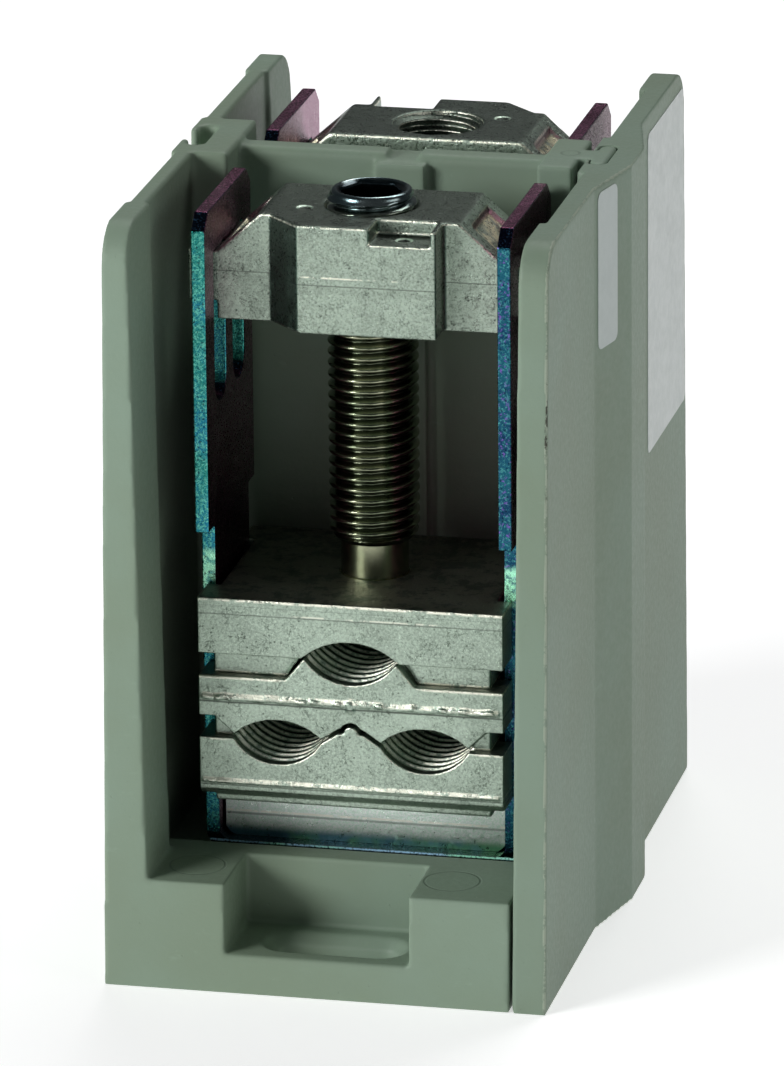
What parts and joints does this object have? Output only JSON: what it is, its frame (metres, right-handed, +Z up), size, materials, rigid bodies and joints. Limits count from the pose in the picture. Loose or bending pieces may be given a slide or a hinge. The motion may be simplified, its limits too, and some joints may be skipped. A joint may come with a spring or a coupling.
{
  "type": "cable clamp terminal block",
  "caption": "Moulded terminal block with a front and a rear screw clamp on one current bar, ridged clamp plates, an end cover and slotted fixing pockets.",
  "frame": {"origin": "bottom centre of the block's bounding box", "axes": "+X across the clamps towards the end cover, -Y towards the front bay, +Z up"},
  "size_m": [0.0826, 0.132, 0.1368],
  "materials": {
    "housing_plastic": "matte moulded, slightly rough",
    "cover_plastic": "matte moulded, worn edges",
    "small_label_film": "bare satin film",
    "large_label_film": "bare satin film",
    "tinned_bar": "tin plated",
    "zinc_strap": "iridescent passivated zinc",
    "tinned_casting": "tin plated casting",
    "plated_screw": "zinc plated thread",
    "tinned_plate": "tin plated casting",
    "spring_wire": "bare spring wire"
  },
  "bodies": {
    "root": {"housing": "housing_plastic", "end_cover": "cover_plastic", "small_label": "small_label_film", "large_label": "large_label_film", "current_bar": "tinned_bar", "front_frame": "zinc_strap", "rear_frame": "zinc_strap", "front_bridge": "tinned_casting", "rear_bridge": "tinned_casting", "front_lower_plate": "tinned_plate", "rear_lower_plate": "tinned_plate"},
    "front_pressure": {"front_pressure_plate": "tinned_plate", "front_snap_ring": "spring_wire"},
    "front_turn": {"front_screw": "plated_screw"},
    "front_middle": {"front_middle_plate": "tinned_plate"},
    "rear_pressure": {"rear_pressure_plate": "tinned_plate", "rear_snap_ring": "spring_wire"},
    "rear_turn": {"rear_screw": "plated_screw"}
  },
  "joints": [
    {"name": "front_plate_slide", "type": "slide", "parent": "root", "child": "front_pressure", "axis": [0, 0, 1], "range_m": [0, 0.01]},
    {"name": "front_screw_turn", "type": "hinge", "parent": "front_pressure", "child": "front_turn", "pos_m": [-0.00065, -0.0271, 0.1], "axis": [0, 0, 1], "range_deg": [0, 1800]},
    {"name": "rear_plate_slide", "type": "slide", "parent": "root", "child": "rear_pressure", "axis": [0, 0, 1], "range_m": [0, 0.021]},
    {"name": "rear_screw_turn", "type": "hinge", "parent": "rear_pressure", "child": "rear_turn", "pos_m": [-0.00065, 0.0271, 0.1], "axis": [0, 0, 1], "range_deg": [0, 3780]},
    {"name": "front_middle_slide", "type": "slide", "parent": "root", "child": "front_middle", "axis": [0, 0, 1], "range_m": [0, 0.0051]}
  ],
  "couplings": [
    {"joint": "front_screw_turn", "follows": "front_plate_slide", "rad_per_m": 3141.6},
    {"joint": "rear_screw_turn", "follows": "rear_plate_slide", "rad_per_m": 3141.6},
    {"joint": "front_middle_slide", "follows": "front_plate_slide", "ratio": 0.5}
  ]
}
